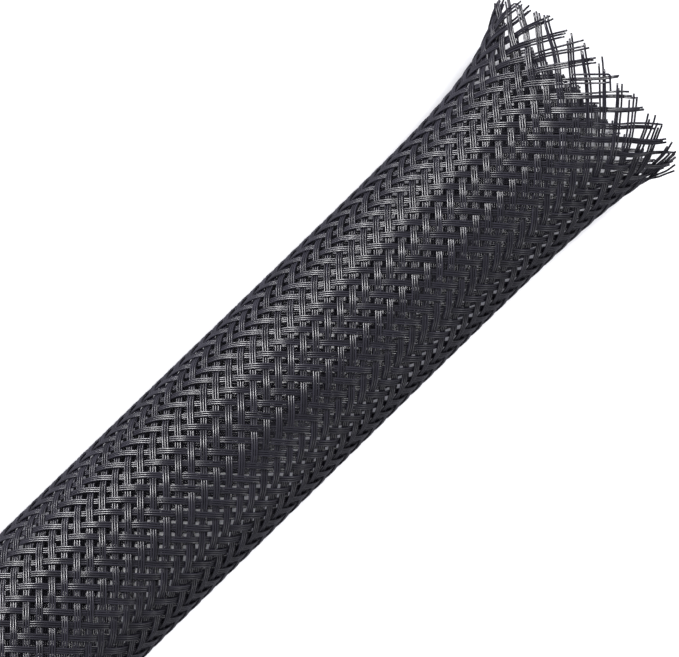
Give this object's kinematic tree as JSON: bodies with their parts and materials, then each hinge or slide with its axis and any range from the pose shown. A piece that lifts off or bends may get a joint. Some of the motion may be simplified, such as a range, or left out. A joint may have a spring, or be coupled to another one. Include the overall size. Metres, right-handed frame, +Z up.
{
  "type": "braided cable sleeve",
  "caption": "Expandable braided sleeve for covering a bundle of cables: an open tube of woven plastic filaments, cut square at one end and splayed open at the other.",
  "frame": {"origin": "middle of the bottom of the sleeve's box, on the floor that it lies on", "axes": "+X along the sleeve towards its flared mouth, +Z up"},
  "size_m": [0.3054, 0.0328, 0.029],
  "materials": {
    "filament": "drawn black polyester filament"
  },
  "bodies": {
    "root": {"braided_sleeve": "filament"}
  },
  "joints": []
}
